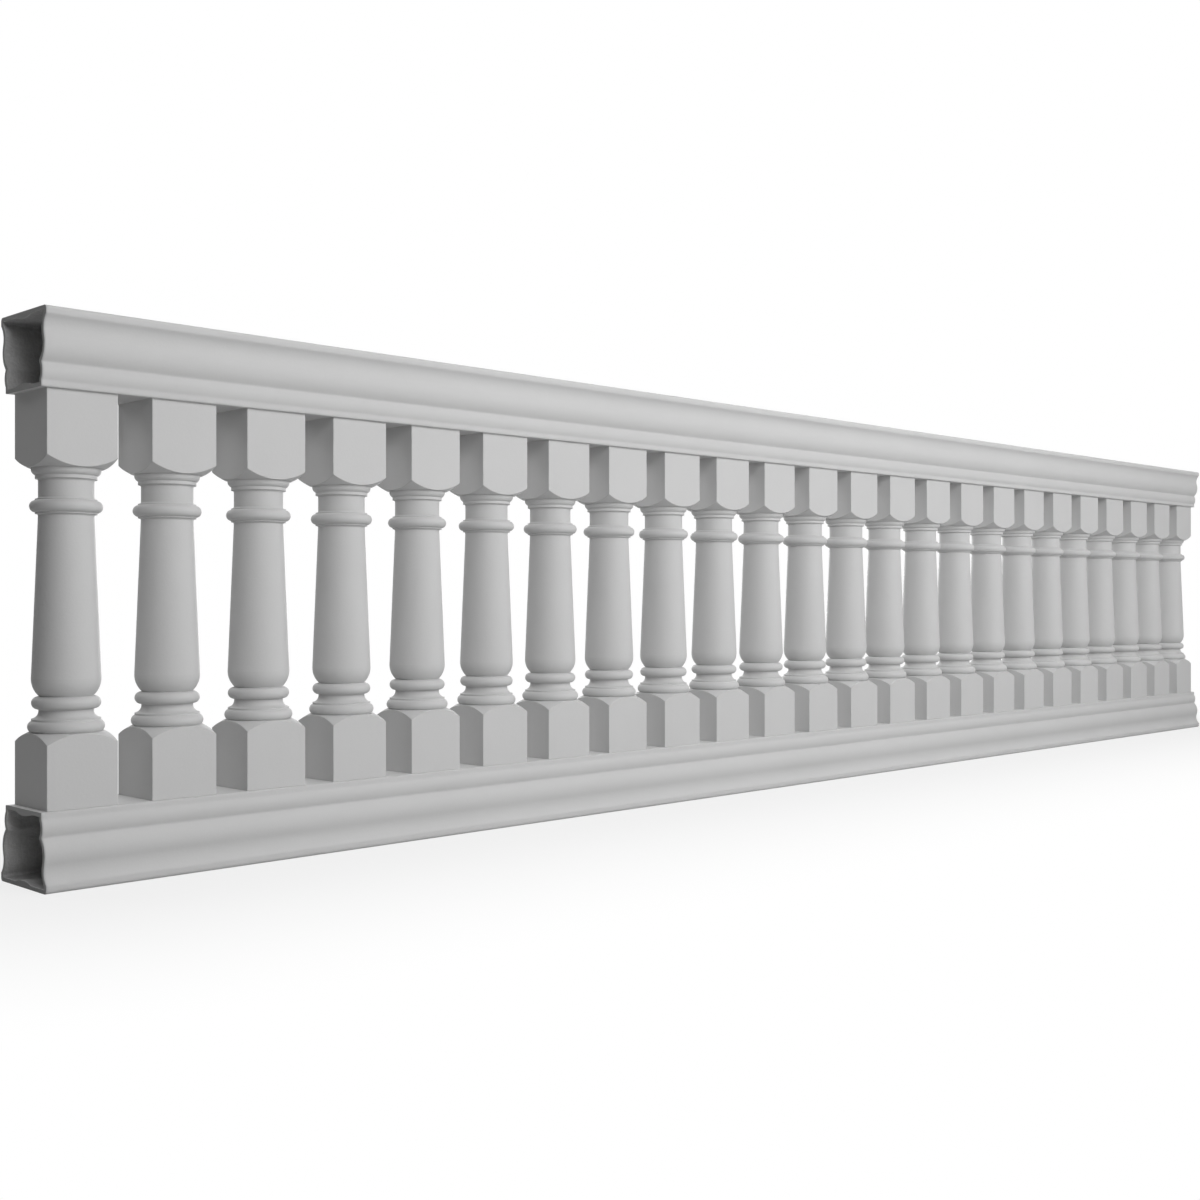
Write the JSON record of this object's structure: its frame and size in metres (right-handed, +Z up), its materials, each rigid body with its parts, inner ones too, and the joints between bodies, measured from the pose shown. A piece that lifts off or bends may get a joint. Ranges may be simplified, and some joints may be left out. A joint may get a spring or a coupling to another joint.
{
  "type": "fiberglass balustrade section",
  "caption": "Straight balustrade section with turned balusters on square blocks between two hollow moulded rails, open at both ends.",
  "frame": {"origin": "underside of the bottom rail, at the middle of the section's length and width", "axes": "+X along the rails, +Y across them from the front to the back, +Z up"},
  "size_m": [3.6576, 0.1424, 0.7861],
  "materials": {
    "rail_gelcoat": "primed light grey fiberglass, matte",
    "baluster_gelcoat": "primed light grey fiberglass, matte"
  },
  "bodies": {
    "root": {"bottom_rail": "rail_gelcoat", "top_rail": "rail_gelcoat", "baluster_01": "baluster_gelcoat", "baluster_02": "baluster_gelcoat", "baluster_03": "baluster_gelcoat", "baluster_04": "baluster_gelcoat", "baluster_05": "baluster_gelcoat", "baluster_06": "baluster_gelcoat", "baluster_07": "baluster_gelcoat", "baluster_08": "baluster_gelcoat", "baluster_09": "baluster_gelcoat", "baluster_10": "baluster_gelcoat", "baluster_11": "baluster_gelcoat", "baluster_12": "baluster_gelcoat", "baluster_13": "baluster_gelcoat", "baluster_14": "baluster_gelcoat", "baluster_15": "baluster_gelcoat", "baluster_16": "baluster_gelcoat", "baluster_17": "baluster_gelcoat", "baluster_18": "baluster_gelcoat", "baluster_19": "baluster_gelcoat", "baluster_20": "baluster_gelcoat", "baluster_21": "baluster_gelcoat", "baluster_22": "baluster_gelcoat", "baluster_23": "baluster_gelcoat", "baluster_24": "baluster_gelcoat"}
  },
  "joints": []
}
